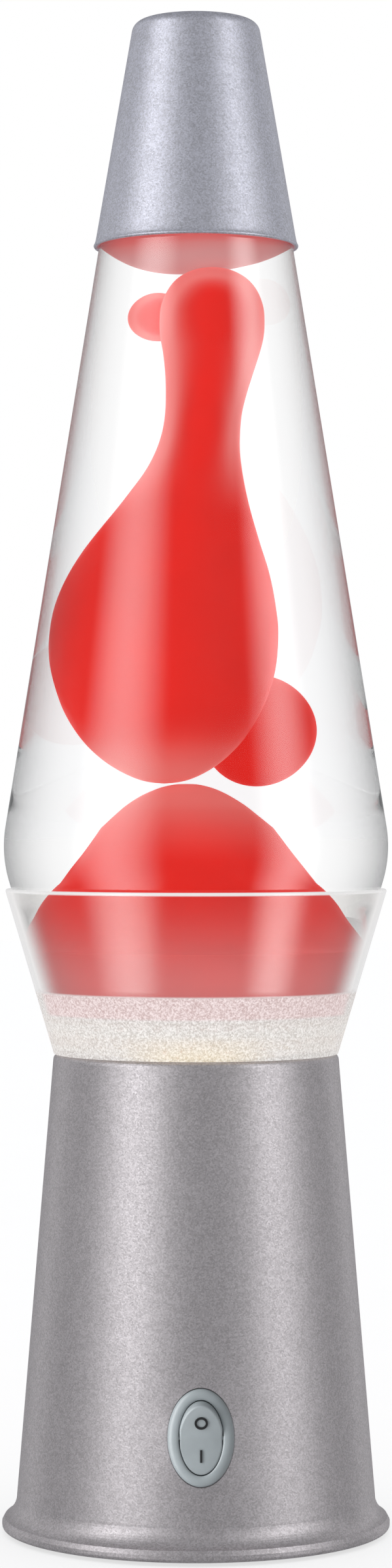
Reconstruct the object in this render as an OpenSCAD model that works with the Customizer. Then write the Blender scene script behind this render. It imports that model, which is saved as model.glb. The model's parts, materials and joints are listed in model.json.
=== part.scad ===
// Lava lamp: a tapered glass globe of liquid and wax that stands in a translucent collar on
// a tall metal base, under a metal cap, over a screw-in bulb. Millimetres, +Z up. The origin
// is on the rest plane at the lamp's axis, and the switch faces -Y.

/* [Overall] */
// Height of the whole lamp, feet included
lamp_h = 368; // [350:1:442]
// Height of the seam between the base and the collar
base_h = 116; // [112:1:140]
// Height of the collar
collar_h = 40; // [33:1:46]
// Height of the cap
cap_h = 56; // [52:1:66]

/* [Base] */
// Radius of the foot flare
foot_r = 47.1; // [45.5:0.1:54]
// Radius of the base just above the flare
base_low_r = 43.5; // [41:0.5:44]
// Radius of the base at its top
base_top_r = 34.6; // [34:0.2:40]
// Height of the top of the flare
flare_z = 8.8; // [8:0.2:11]
// Radius of the flare's hollow curve
cove_r = 6; // [4:0.5:7]
// Wall of the base shell
shell_wall = 1.6; // [1:0.1:2]
// Gap between the shell's rim and the rest plane
rim_z = 0.8; // [0.5:0.1:1.5]
// Radius of the opening in the shell's top
deck_hole_r = 22; // [20:0.5:23]
// Thickness of the base plate
plate_t = 1.6; // [1:0.1:2]
// Height of the rubber feet below the base plate
foot_h = 2.4; // [1.8:0.1:3]
// Radius of a rubber foot
pad_r = 5; // [3:0.5:6]

/* [Collar] */
// Radius of the collar's rim before rounding
collar_rim_r = 46.5; // [45:0.1:56]
// Wall of the collar
collar_wall = 1.3; // [1:0.1:2]
// Thickness of the collar's foot flange
collar_flange_t = 1.3; // [1:0.1:2]

/* [Globe] */
// Radius where the globe's two cones would meet
globe_corner_r = 47.4; // [45:0.1:57]
// Radius of the round shoulder between the cones
globe_shoulder = 30; // [10:1:40]
// Radius of the globe at the cap's rim
globe_neck_r = 23.6; // [22:0.2:28]
// Height of the globe's underside above the seam
globe_lift = 5; // [4.5:0.1:7]
// Wall of the glass
glass_wall = 2; // [1.5:0.1:3]
// Thickness of the glass floor
glass_floor = 3; // [2:0.1:5]
// Radius of the bottle finish that takes the closure
finish_r = 13.3; // [12:0.1:14]

/* [Wax] */
// Largest radius of the main blob
belly_r = 21; // [12:0.5:22]
// Radius of the small high ball
high_ball_r = 4.6; // [2:0.1:5]
// Radius of the low ball
low_ball_r = 8.6; // [4:0.1:9]

/* [Cap] */
// Wall of the cap
cap_wall = 0.8; // [0.6:0.1:1]
// Radius of the cap's top edge before rounding
cap_top_r = 15.2; // [14.8:0.1:18]
// Rise of the cap's domed top
cap_dome = 1; // [0:0.1:2]

/* [Bulb and socket] */
// Height of the bulb's tip
tip_z = 49.3; // [46:0.1:50]
// Length of the bulb
bulb_h = 58.7; // [54:0.1:59]
// Radius of the bulb
bulb_r = 17.5; // [15:0.5:17.5]
// Pitch of the bulb's thread
thread_pitch = 2.82; // [2.5:0.01:3.6]
// Mean radius of the bulb's thread
thread_r = 8; // [7:0.1:8.2]
// Half the depth of the thread
thread_depth = 0.3; // [0.2:0.05:0.35]
// Outer radius of the socket
socket_r = 13; // [12:0.5:13.5]

/* [Switch] */
// Height of the switch's centre
switch_z = 29; // [24:0.5:60]
// Half width of the bezel
bezel_a = 7.8; // [7.8:0.1:9]
// Half height of the bezel
bezel_b = 11.45; // [11.4:0.05:12.5]
// Half width of the rocker's opening
window_a = 5.2; // [4.8:0.1:5.3]
// Half height of the rocker's opening
window_b = 8.75; // [8:0.05:8.8]
// Rocker's tilt each way from level, in degrees
rocker_tilt = 11; // [6:1:12]

/* [Clearances] */
// Between the globe and what it stands in or carries
seat_gap = 0.3; // [0.3:0.05:0.6]
// Between the bulb's thread and the socket's
thread_gap = 0.3; // [0.25:0.05:0.35]
// Between a piece and the opening it drops into
slip_gap = 0.15; // [0.1:0.05:0.3]
// Between a screw or pin and its hole
pin_gap = 0.05; // [0.03:0.01:0.1]
// Between the liquid and the glass or wax around it
fill_gap = 0.2; // [0.1:0.05:0.4]

/* [Hidden] */
$fn = 96;

// ---- outline helpers ----
function unit(v) = v / norm(v);

// Points of an arc in the plane, from one angle to another.
function arc(centre, r, from, to, steps) =
    [for (i = [0 : steps]) let (a = from + (to - from) * i / steps) centre + r * [cos(a), sin(a)]];

// The arc of radius r that rounds the corner between two straight sides.
function round_corner(before, corner, after, r, steps = 8) =
    let (
        u = unit(before - corner),
        v = unit(after - corner),
        half = acos(u * v) / 2,
        first = corner + u * r / tan(half),
        last = corner + v * r / tan(half),
        centre = corner + unit(u + v) * r / sin(half),
        from = atan2(first.y - centre.y, first.x - centre.x),
        to = atan2(last.y - centre.y, last.x - centre.x),
        turn = (to - from + 540) % 360 - 180
    )
    arc(centre, r, from, from + turn, steps);

// Points round an ellipse.
function ellipse(a, b, steps = 48) =
    [for (i = [0 : steps - 1]) [a * cos(360 * i / steps), b * sin(360 * i / steps)]];

module turned(outline) {
    rotate_extrude()
        polygon(outline);
}

// ---- places worked out from the sizes ----
collar_top = base_h + collar_h;
cap_z = lamp_h - cap_h;
globe_z = base_h + globe_lift;
function base_r(z) = base_low_r + (base_top_r - base_low_r) * (z - flare_z) / (base_h - flare_z);
function collar_r(z) = base_top_r + (collar_rim_r - base_top_r) * (z - base_h) / collar_h;
function globe_low_r(z) = collar_r(z) - collar_wall - seat_gap;
collar_slope = (collar_rim_r - base_top_r) / collar_h;
shoulder_z = base_h + (globe_corner_r + collar_wall + seat_gap - base_top_r) / collar_slope;
cap_rim_r = globe_neck_r + seat_gap + cap_wall;
cap_slope = (cap_rim_r - cap_top_r) / (cap_h - cap_dome);
// Inside the cap the glass runs along the cap's own wall.
function globe_top_r(z) = globe_neck_r - cap_slope * (z - cap_z);
wall_tilt = atan((base_low_r - base_top_r) / (base_h - flare_z));

// ================= base =================
foot_edge = 0.9;
foot_edge_h = 2.1;
cove_sweep = 60;
top_edge = 1.5;
flange_t = shell_wall;

shell_outer = concat(
    round_corner([foot_r - 2, rim_z], [foot_r, rim_z], [foot_r, rim_z + foot_edge_h], foot_edge, 5),
    [[foot_r, rim_z + foot_edge_h - 0.4]],
    arc([base_low_r + cove_r, flare_z], cove_r, 180 + cove_sweep, 180, 10),
    round_corner([base_low_r, flare_z], [base_top_r, base_h], [0, base_h], top_edge, 6)
);
shell_inner = concat(
    [[base_top_r - shell_wall, base_h - flange_t]],
    arc([base_low_r + cove_r, flare_z], cove_r + shell_wall, 180, 180 + cove_sweep - 8, 8)
);

// Bosses inside the shell that take the base plate's screws.
boss_at = 36;
boss_r = 3.4;
boss_angles = [45, 135, 225, 315];
plate_z = foot_h;
boss_z = plate_z + plate_t;
boss_h = 12;
web_t = 2.4;
plate_screw_r = 1.5;

// Screws through the collar's flange and the shell's top into the bracket's ears.
deck_screw_at = 27;
deck_screw_r = 1.5;
deck_angles = [0, 180];

// Seat of the switch: a flat cut into the shell's tapered wall.
switch_flat = 0.8;
switch_out = base_r(switch_z) - switch_flat;
module at_switch() {
    translate([0, -switch_out, switch_z])
        rotate([-wall_tilt, 0, 0])
            children();
}
// Turns a drawing in (across, up) into a plate between two depths, inwards being +Y.
module plate_at(from, to) {
    translate([0, to, 0])
        rotate([90, 0, 0])
            linear_extrude(to - from)
                children();
}
frame_a = bezel_a - 1.2;
frame_b = bezel_b - 1.25;
shell_depth = 6;

// Seat of the cord gland at the rear: a flat for its flange, and a six-sided hole that keeps
// its barrel from turning. The barrel's radius is half its width across the flats.
gland_z = 14;
gland_seat = 42.6;
gland_flange_r = 6.2;
gland_barrel_r = 4.9;
gland_bore_r = 3;
gland_in = 38.8;
gland_out = 46.6;
module gland_barrel(r, from, to) {
    translate([0, from, gland_z])
        rotate([-90, 0, 0])
            cylinder(r = r / cos(30), h = to - from, $fn = 6);
}

module base_shell() {
    flat = gland_flange_r + slip_gap;
    color("silver")
        difference() {
            union() {
                turned(concat(shell_outer, [[deck_hole_r, base_h], [deck_hole_r, base_h - flange_t]],
                    shell_inner));
                intersection() {
                    for (a = boss_angles)
                        rotate(a)
                            translate([0, 0, boss_z]) {
                                translate([boss_at, 0, 0])
                                    cylinder(r = boss_r, h = boss_h);
                                translate([boss_at, -web_t / 2, 0])
                                    cube([foot_r - boss_at, web_t, boss_h]);
                            }
                    turned(concat([[0, rim_z]], shell_outer, [[0, base_h]]));
                }
            }
            for (a = boss_angles)
                rotate(a)
                    translate([boss_at, 0, boss_z - 1])
                        cylinder(r = plate_screw_r + pin_gap, h = boss_h - 1);
            for (a = deck_angles)
                rotate(a)
                    translate([deck_screw_at, 0, base_h - flange_t - 1])
                        cylinder(r = deck_screw_r + pin_gap, h = flange_t + 2);
            at_switch() {
                plate_at(-shell_depth, 0)
                    polygon(ellipse(bezel_a + slip_gap, bezel_b + slip_gap));
                plate_at(-1, shell_depth)
                    polygon(ellipse(frame_a + slip_gap, frame_b + slip_gap));
            }
            gland_barrel(gland_barrel_r + slip_gap, gland_in - 1, gland_out);
            translate([-flat, gland_seat, gland_z - flat])
                cube(2 * flat);
        }
}

plate_r = 42.8;
foot_angles = [0, 90, 180, 270];
foot_at = 34;
vent_count = 16;
vent_w = 2.6;
vent_in = 12;
vent_out = 27;

module base_plate() {
    color("dimgray")
        difference() {
            translate([0, 0, plate_z])
                cylinder(r = plate_r, h = plate_t);
            for (a = boss_angles)
                rotate(a)
                    translate([boss_at, 0, plate_z - 1])
                        cylinder(r = plate_screw_r + pin_gap, h = plate_t + 2);
            for (i = [0 : vent_count - 1])
                rotate(360 * (i + 0.5) / vent_count)
                    translate([vent_in, -vent_w / 2, plate_z - 1])
                        cube([vent_out - vent_in, vent_w, plate_t + 2]);
        }
}

module pan_head_screw(r, length, head_r, head_h) {
    translate([0, 0, -head_h])
        difference() {
            cylinder(r = head_r, h = head_h);
            for (a = [0, 90])
                rotate(a)
                    translate([-head_r * 0.6, -0.35, -0.1])
                        cube([head_r * 1.2, 0.7, head_h / 2]);
        }
    cylinder(r = r, h = length);
}

module plate_screws() {
    color("gainsboro")
        for (a = boss_angles)
            rotate(a)
                translate([boss_at, 0, plate_z])
                    pan_head_screw(plate_screw_r, plate_t + boss_h - 3, 2.75, 1.3);
}

module rubber_feet() {
    color("black")
        for (a = foot_angles)
            rotate(a)
                translate([foot_at, 0, 0])
                    turned(concat([[0, 0]],
                        round_corner([0, 0], [pad_r, 0], [pad_r, foot_h], 0.6, 4),
                        [[pad_r, foot_h], [0, foot_h]]));
}

// ================= collar =================
collar_lip = 0.5;
collar_flange_in = 24;

module collar() {
    inner_foot = globe_low_r(base_h + collar_flange_t) + seat_gap;
    color("whitesmoke", 0.5)
        difference() {
            turned(concat(
                [[collar_flange_in, base_h], [base_top_r, base_h]],
                round_corner([base_top_r, base_h], [collar_rim_r, collar_top], [0, collar_top],
                    collar_lip, 4),
                round_corner([collar_rim_r, collar_top], [collar_rim_r - collar_wall, collar_top],
                    [inner_foot, base_h + collar_flange_t], collar_lip, 4),
                [[inner_foot, base_h + collar_flange_t],
                    [collar_flange_in, base_h + collar_flange_t]]
            ));
            for (a = deck_angles)
                rotate(a)
                    translate([deck_screw_at, 0, base_h - 1])
                        cylinder(r = deck_screw_r + pin_gap, h = collar_flange_t + 2);
        }
}

// ================= socket and its bracket =================
ear_t = 1.2;
ear_z = base_h - flange_t - ear_t;
strap_t = 1.2;
strap_w = 12;
leg_x = 30.6;
ear_in = 24;
socket_z = tip_z - 9.3;
strap_z = socket_z - strap_t;
socket_h = 24;
socket_top = socket_z + socket_h;
cavity_z = socket_z + 6.5;
socket_shell_r = thread_r + thread_depth + thread_gap + 0.8;
socket_screw_r = 2;
lead_r = 1;
lead_hole_z = socket_z + 4;

module socket_bracket() {
    color("lightgray")
        difference() {
            union() {
                translate([-leg_x, -strap_w / 2, strap_z])
                    cube([2 * leg_x, strap_w, strap_t]);
                for (side = [0, 180])
                    rotate(side) {
                        translate([leg_x - strap_t, -strap_w / 2, strap_z])
                            cube([strap_t, strap_w, ear_z + ear_t - strap_z]);
                        translate([ear_in, -strap_w / 2, ear_z])
                            cube([leg_x - ear_in, strap_w, ear_t]);
                    }
            }
            for (a = deck_angles)
                rotate(a)
                    translate([deck_screw_at, 0, ear_z - 1])
                        cylinder(r = deck_screw_r + pin_gap, h = ear_t + 2);
            translate([0, 0, strap_z - 1])
                cylinder(r = socket_screw_r + pin_gap, h = strap_t + 2);
        }
}

module deck_screws() {
    head_h = 1.3;
    color("gainsboro")
        for (a = deck_angles)
            rotate(a)
                translate([deck_screw_at, 0, base_h + collar_flange_t])
                    rotate([180, 0, 0])
                        pan_head_screw(deck_screw_r, collar_flange_t + flange_t + ear_t + 0.8,
                            2.6, head_h);
}

module socket_screw() {
    color("gainsboro")
        translate([0, 0, strap_z])
            pan_head_screw(socket_screw_r, strap_t + 4, 3.6, 2);
}

module socket_body() {
    color("ivory")
        difference() {
            turned(concat(
                [[0, socket_z]],
                round_corner([0, socket_z], [socket_r, socket_z], [socket_r, socket_top], 1, 4),
                round_corner([socket_r, socket_z], [socket_r, socket_top], [0, socket_top], 0.6, 4),
                [[socket_shell_r + slip_gap, socket_top], [socket_shell_r + slip_gap, cavity_z],
                    [0, cavity_z]]
            ));
            translate([0, 0, socket_z - 1])
                cylinder(r = socket_screw_r + pin_gap, h = 5.5);
            for (side = [0, 180])
                rotate(side)
                    translate([0, -socket_r - 1, lead_hole_z])
                        rotate([-90, 0, 0])
                            cylinder(r = lead_r + slip_gap, h = 5);
        }
}

// A round bar with a rounded helical thread, centred on the axis.
thread_sides = 24;
thread_rows = 8;
module threaded_bar(mean_r, from, to) {
    rows = ceil((to - from) / thread_pitch * thread_rows);
    function ring(z) =
        [for (i = [0 : thread_sides - 1])
            let (
                a = 360 * i / thread_sides,
                r = mean_r + thread_depth * cos(360 * (z - tip_z) / thread_pitch - a)
            )
            [r * cos(a), r * sin(a), z]];
    points = concat(
        [for (k = [0 : rows]) each ring(from + (to - from) * k / rows)],
        [[0, 0, from], [0, 0, to]]
    );
    floor_point = (rows + 1) * thread_sides;
    faces = concat(
        [for (k = [0 : rows - 1], i = [0 : thread_sides - 1])
            let (j = (i + 1) % thread_sides, low = k * thread_sides, high = low + thread_sides)
            each [[low + i, high + j, low + j], [low + i, high + i, high + j]]],
        [for (i = [0 : thread_sides - 1])
            let (j = (i + 1) % thread_sides)
            each [[floor_point, i, j],
                [floor_point + 1, rows * thread_sides + j, rows * thread_sides + i]]]
    );
    polyhedron(points, faces, convexity = 10);
}

module socket_shell() {
    color("goldenrod")
        difference() {
            translate([0, 0, cavity_z + 3])
                cylinder(r = socket_shell_r, h = socket_top - cavity_z - 3);
            threaded_bar(thread_r + thread_gap, cavity_z + 2, socket_top + 1);
        }
}

contact_r = 4;
module socket_contact() {
    color("gold") {
        translate([0, 0, cavity_z])
            cylinder(r = contact_r, h = 0.6);
        translate([0, 0, cavity_z + 0.6])
            cylinder(r = 2, h = tip_z - 0.2 - cavity_z - 0.6);
    }
}

reflector_t = 0.8;
reflector_low_z = socket_top - 6;
reflector_in_r = 14.2;
reflector_top_r = 27.6;
reflector_top = ear_z - 1.4;
module reflector() {
    skirt_r = socket_r + slip_gap;
    color("gainsboro")
        turned([
            [skirt_r, reflector_low_z],
            [skirt_r + reflector_t, reflector_low_z],
            [skirt_r + reflector_t, socket_top + 2],
            [reflector_in_r + reflector_t, socket_top + 8],
            [reflector_top_r + reflector_t, reflector_top],
            [reflector_top_r, reflector_top],
            [reflector_in_r, socket_top + 8],
            [skirt_r, socket_top + 2]
        ]);
}

// ================= switch =================
bezel_t = 1.5;
window_t = 0.8;
frame_wall = 1;
frame_depth = 10;
frame_floor = 1.2;
pivot_y = -0.4;
pivot_r = 0.6;
pivot_reach = 6;
rocker_gap = 0.2;
rocker_back = 1.6;
rocker_rise = 0.9;
lever_y = 5.3;
lever_t = 0.5;
lever_tilt = 7;
lever_half = 4.2;
blade_w = 4.8;
blade_t = 0.8;
blade_z = 4;
blade_end = 17;
fulcrum_y = lever_y + lever_t + 0.2;

module at_pivot(tilt) {
    at_switch()
        translate([0, pivot_y, 0])
            rotate([tilt, 0, 0])
                translate([0, -pivot_y, 0])
                    children();
}

module x_pin(r, from, to, y, z = 0) {
    translate([from, y, z])
        rotate([0, 90, 0])
            cylinder(r = r, h = to - from);
}

module switch_frame() {
    color("darkslategray")
        at_switch()
            difference() {
                union() {
                    plate_at(-bezel_t, 0)
                        polygon(ellipse(bezel_a, bezel_b));
                    plate_at(-0.5, frame_depth)
                        polygon(ellipse(frame_a, frame_b));
                }
                plate_at(-bezel_t - 1, 1)
                    polygon(ellipse(window_a, window_b));
                plate_at(window_t - bezel_t, frame_depth - frame_floor)
                    polygon(ellipse(frame_a - frame_wall, frame_b - frame_wall));
                x_pin(pivot_r + pin_gap, -pivot_reach, pivot_reach, pivot_y);
                for (z = [-blade_z, blade_z])
                    translate([-blade_w / 2 - slip_gap, 1, z - blade_t / 2 - slip_gap])
                        cube([blade_w + 2 * slip_gap, frame_depth, blade_t + 2 * slip_gap]);
            }
}

module blade(from, z) {
    translate([-blade_w / 2, from, z - blade_t / 2])
        cube([blade_w, blade_end - from, blade_t]);
}

module switch_terminals() {
    step_y = frame_depth - frame_floor - 1.1;
    color("tan")
        at_switch() {
            blade(fulcrum_y + 0.5, blade_z);
            blade(step_y, -blade_z);
            translate([-blade_w / 2, step_y, -blade_z])
                cube([blade_w, blade_t, blade_z + blade_t / 2]);
            translate([-blade_w / 2, fulcrum_y, -blade_t / 2])
                cube([blade_w, step_y + blade_t - fulcrum_y, blade_t]);
        }
}

sleeve_t = 0.5;
barrel_r = 1.8;
barrel_end = 22;
module spade_connectors() {
    color("lightsteelblue")
        at_switch()
            for (z = [-blade_z, blade_z])
                difference() {
                    union() {
                        translate([-blade_w / 2 - sleeve_t, frame_depth + 1, z - blade_t / 2 - sleeve_t])
                            cube([blade_w + 2 * sleeve_t, blade_end - frame_depth,
                                blade_t + 2 * sleeve_t]);
                        translate([0, blade_end, z])
                            rotate([-90, 0, 0])
                                cylinder(r = barrel_r, h = barrel_end - blade_end);
                    }
                    translate([-blade_w / 2 - slip_gap, frame_depth, z - blade_t / 2 - slip_gap])
                        cube([blade_w + 2 * slip_gap, blade_end - frame_depth + slip_gap,
                            blade_t + 2 * slip_gap]);
                }
}

// The rocker's half height at x as it turns about its pins inside the oval window.
function rocker_reach(x) =
    norm([window_b * sqrt(1 - pow(x / window_a, 2)) - rocker_gap, window_t]);
rocker_half = window_a - rocker_gap;

module rocker() {
    profile = [for (i = [-10 : 10]) let (x = rocker_half * sin(9 * i)) [rocker_reach(x), x]];
    color("slategray")
        at_pivot(rocker_tilt) {
            difference() {
                translate([0, pivot_y, 0])
                    rotate([0, 90, 0])
                        turned(concat([[0, -rocker_half]], profile, [[0, rocker_half]]));
                for (side = [-1, 1])
                    translate([0, pivot_y, 0])
                        rotate([-side * rocker_tilt, 0, 0])
                            translate([-window_b, -2 * window_b - rocker_rise,
                                side > 0 ? -2 * window_b : 0])
                                cube(2 * window_b);
                translate([-window_b, pivot_y + rocker_back, -window_b])
                    cube(2 * window_b);
                translate([0, pivot_y + rocker_rise, 0])
                    rotate([-90, 0, 0])
                        cylinder(r = spring_r + slip_gap, h = 5);
            }
            x_pin(pivot_r, -pivot_reach + 0.3, pivot_reach - 0.3, pivot_y);
        }
}

mark_depth = 0.25;
mark_proud = 0.02;
mark_at = 4.2;
ring_r = 1.55;
bar_h = 2.9;
stroke = 0.5;
module rocker_marks() {
    color("black")
        for (side = [-1, 1])
            at_pivot(rocker_tilt)
                translate([0, pivot_y, 0])
                    rotate([-side * rocker_tilt, 0, 0])
                        translate([0, -rocker_rise, -side * mark_at])
                            plate_at(-mark_proud - mark_depth, -mark_proud)
                                if (side < 0)
                                    difference() {
                                        circle(r = ring_r);
                                        circle(r = ring_r - stroke);
                                    }
                                else
                                    square([stroke, bar_h], center = true);
}

plunger_r = 0.8;
spring_r = 1.3;
plunger_tip = 4.8;
module plunger() {
    color("white")
        at_pivot(rocker_tilt)
            translate([0, pivot_y, 0])
                rotate([-90, 0, 0]) {
                    translate([0, 0, rocker_rise + 0.3])
                        cylinder(r = plunger_r, h = plunger_tip - plunger_r - rocker_rise - 0.3);
                    translate([0, 0, plunger_tip - plunger_r])
                        sphere(r = plunger_r);
                    translate([0, 0, plunger_tip - plunger_r - 0.6])
                        cylinder(r = spring_r, h = 0.5);
                }
}

// A wire swept along a list of points, with a fixed direction that no stretch runs along.
module swept(route, r, sides = 8, aside = [1, 0, 0]) {
    last = len(route) - 1;
    function along(k) = unit(route[min(k + 1, last)] - route[max(k - 1, 0)]);
    function ring(k) =
        let (u = unit(cross(along(k), aside)), v = cross(along(k), u))
        [for (i = [0 : sides - 1]) let (a = 360 * i / sides) route[k] + r * (u * cos(a) + v * sin(a))];
    points = [for (k = [0 : last]) each ring(k)];
    faces = concat(
        [[for (i = [0 : sides - 1]) i]],
        [[for (i = [sides - 1 : -1 : 0]) last * sides + i]],
        [for (k = [0 : last - 1], i = [0 : sides - 1])
            let (j = (i + 1) % sides, low = k * sides, high = low + sides)
            each [[low + i, high + j, low + j], [low + i, high + i, high + j]]]
    );
    polyhedron(points, faces, convexity = 10);
}

spring_turns = 4;
spring_steps = 8;
spring_wire = 0.14;
module plunger_spring() {
    coil_r = (plunger_r + spring_r) / 2 + 0.05;
    from = rocker_rise + 0.5;
    to = plunger_tip - plunger_r - 0.85;
    count = spring_turns * spring_steps;
    route = [for (i = [0 : count])
        let (a = 360 * i / spring_steps)
        [coil_r * cos(a), coil_r * sin(a), from + (to - from) * i / count]];
    color("gainsboro")
        at_pivot(rocker_tilt)
            translate([0, pivot_y, 0])
                rotate([-90, 0, 0])
                    swept(route, spring_wire, 6, [0, 0, 1]);
}

module contact_lever() {
    color("darkgoldenrod")
        at_switch()
            translate([0, lever_y + lever_t, 0])
                rotate([-lever_tilt, 0, 0])
                    translate([-1.6, -lever_t, -lever_half])
                        cube([3.2, lever_t, 2 * lever_half]);
}

// ================= cord gland and leads =================
module cord_gland() {
    color("black")
        difference() {
            union() {
                gland_barrel(gland_barrel_r, gland_in, gland_seat + 1);
                translate([0, 0, gland_z])
                    rotate([-90, 0, 0])
                        turned([
                            [0, gland_seat], [gland_flange_r, gland_seat],
                            [gland_flange_r, gland_seat + 1.2],
                            [gland_barrel_r - 0.4, gland_seat + 1.5],
                            [gland_barrel_r - 1, gland_out], [0, gland_out]
                        ]);
            }
            translate([0, gland_in - 1, gland_z])
                rotate([-90, 0, 0])
                    cylinder(r = gland_bore_r, h = gland_out - gland_in + 2);
        }
}

// A point on a switch connector's axis, past the end of its barrel.
lead_gap = 0.5;
function past_barrel(z, past) =
    let (y = barrel_end + past)
    [0, y * cos(wall_tilt) + z * sin(wall_tilt) - switch_out,
        switch_z - y * sin(wall_tilt) + z * cos(wall_tilt)];

module live_lead() {
    color("saddlebrown")
        swept([
            [-1.5, 38, 14], [-2, 34, 14], [-5, 29, 13], [-9, 24, 12], [-13, 18, 11], [-16, 11, 10],
            [-17, 4, 10], [-16, -3, 11], [-13, -9, 14], [-9, -13, 18], [-4, -15.5, 21],
            past_barrel(-blade_z, lead_gap + 2.4) - [0.8, 0, 0.3], past_barrel(-blade_z, lead_gap)
        ], lead_r);
}

module switched_lead() {
    color("saddlebrown")
        swept([
            past_barrel(blade_z, lead_gap), past_barrel(blade_z, lead_gap + 1.6),
            [0, -15.8, 32.8], [0, -16.6, 36],
            [0, -17.4, 39], [0, -17.2, 42], [0, -15.6, 43.8], [0, -12.5, 44], [0, -9.5, 44]
        ], lead_r);
}

module neutral_lead() {
    color("steelblue")
        swept([
            [1.5, 38, 14], [2, 34, 14.5], [3, 30, 17], [3, 26.5, 21], [3, 23.5, 26], [2.5, 21, 31],
            [1.5, 19, 36], [0.5, 17.6, 40], [0, 16, 43], [0, 13.5, 44], [0, 9.5, 44]
        ], lead_r);
}

// ================= bulb =================
bulb_top = tip_z + bulb_h;
bulb_centre = bulb_top - bulb_r;
bulb_wall = 0.6;
bulb_neck_r = 7;
bulb_neck_z = tip_z + 14.5;
thread_from = tip_z + 3.2;
thread_to = tip_z + 13.2;

// Outline of the bulb's glass, taken in by some distance: a cone that runs into a ball.
function bulb_outline(inset) =
    let (
        r = bulb_r - inset,
        neck = bulb_neck_r - inset,
        drop = bulb_centre - bulb_neck_z - 4,
        low = atan2(drop, neck) - acos(r / norm([neck, drop]))
    )
    concat(
        [[0, bulb_neck_z + inset], [neck, bulb_neck_z + inset], [neck, bulb_neck_z + 4]],
        arc([0, bulb_centre], r, -low, 90, 14)
    );

module bulb_glass() {
    color("lightyellow", 0.5)
        difference() {
            turned(bulb_outline(0));
            turned(bulb_outline(bulb_wall));
        }
}

module bulb_cap() {
    color("gold")
        difference() {
            union() {
                threaded_bar(thread_r, thread_from, thread_to);
                translate([0, 0, thread_to - 0.5])
                    cylinder(r = thread_r - thread_depth, h = bulb_neck_z + 3 - thread_to);
            }
            translate([0, 0, thread_from - 1])
                cylinder(r = bulb_neck_r + 0.1, h = bulb_h);
        }
}

module bulb_insulator() {
    color("black")
        turned([
            [1.9, tip_z + 1], [3.4, tip_z + 1], [thread_r - thread_depth - 0.2, thread_from],
            [bulb_neck_r, thread_from], [bulb_neck_r, thread_from + 1.5], [1.9, thread_from + 1.5]
        ]);
}

module bulb_tip() {
    color("silver")
        turned(concat([[0, tip_z]], arc([0, tip_z + 1.8], 1.8, -90, 0, 5),
            [[1.8, thread_from + 1.2], [0, thread_from + 1.2]]));
}

module filament_mount() {
    stem_z = bulb_neck_z + bulb_wall;
    filament_z = bulb_centre - 4;
    arm = 7;
    color("gray") {
        translate([0, 0, stem_z])
            cylinder(r1 = 3.6, r2 = 2.4, h = 10);
        for (side = [-1, 1])
            translate([side * 1.2, 0, stem_z + 9.5])
                rotate([0, side * atan((arm - 1.2) / (filament_z - stem_z - 9.5)), 0])
                    cylinder(r = 0.25, h = norm([arm - 1.2, filament_z - stem_z - 9.5]));
        translate([0, 0, filament_z])
            rotate([90, 0, 0])
                rotate_extrude(angle = 180)
                    translate([arm, 0])
                        circle(r = 0.4);
        translate([0, 0, stem_z + 9.5])
            cylinder(r = 0.2, h = filament_z + arm - stem_z - 9.5);
    }
}

// ================= globe =================
heel_r = 6;
throat_z = cap_z + 18;
finish_z = throat_z + 12;
finish_h = 7;
throat_r = finish_r - 0.9;
mouth_r = 9;
liquid_top = throat_z - 5;

// Outline of the globe taken in by some distance, from its floor to the top of its throat.
function globe_outline(inset, floor_z) =
    let (
        low = [globe_low_r(floor_z) - inset, floor_z],
        corner = [globe_corner_r - inset, shoulder_z],
        neck = [globe_neck_r - inset, cap_z],
        high = [globe_top_r(throat_z) - inset, throat_z - inset / 2],
        throat = [throat_r - inset, throat_z + 7 - inset / 2],
        top = [throat_r - inset, finish_z]
    )
    concat(
        [[0, floor_z]],
        round_corner([0, floor_z], low, corner, heel_r - inset, 8),
        round_corner(low, corner, neck, globe_shoulder, 12),
        [neck],
        round_corner(neck, high, throat, 5, 6),
        round_corner(high, throat, top, 3, 6),
        [top]
    );

module globe_glass() {
    color("azure", 0.3)
        difference() {
            turned(concat(
                globe_outline(0, globe_z),
                [[finish_r - 0.5, finish_z + 0.5]],
                round_corner([finish_r, finish_z], [finish_r, finish_z + finish_h],
                    [0, finish_z + finish_h], 1, 4),
                [[0, finish_z + finish_h]]
            ));
            turned(concat(globe_outline(glass_wall, globe_z + glass_floor), [[0, finish_z]]));
            translate([0, 0, finish_z - 1])
                cylinder(r = mouth_r, h = finish_h + 2);
        }
}

// Wax pieces are turned solids. A piece taken out by a small distance cuts its space in the liquid.
blob_knots = [
    [0, 0], [3, 0.34], [10, 0.72], [19, 0.93], [33, 1], [48, 0.9], [62, 0.66], [74, 0.44],
    [85, 0.33], [97, 0.36], [108, 0.47], [116, 0.43], [121, 0.26], [123, 0]
];
blob_x = -5.9;
blob_z = shoulder_z + 16.5;
blob_lean = 6.2;
blob_scale = (cap_z - 7 - blob_z) / 123.5;
module blob_solid(out) {
    translate([blob_x, 0, blob_z])
        rotate([0, blob_lean, 0])
            translate([blob_lean / 4 - 4.6, 0, 0])
                turned([for (i = [0 : len(blob_knots) - 1])
                    let (k = blob_knots[i], end = i == 0 ? -out : i == len(blob_knots) - 1 ? out : 0)
                    [end == 0 ? belly_r * k[1] + out : 0, k[0] * blob_scale + end]]);
}

// An upright egg, taller than it is wide.
module egg(r, tall, out) {
    turned([for (i = [-6 : 6]) [i == -6 || i == 6 ? 0 : (r + out) * cos(15 * i), (tall + out) * sin(15 * i)]]);
}

module high_ball_solid(out) {
    translate([-8, 11.5, cap_z - 16.8])
        egg(high_ball_r, high_ball_r * 1.3, out);
}

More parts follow.
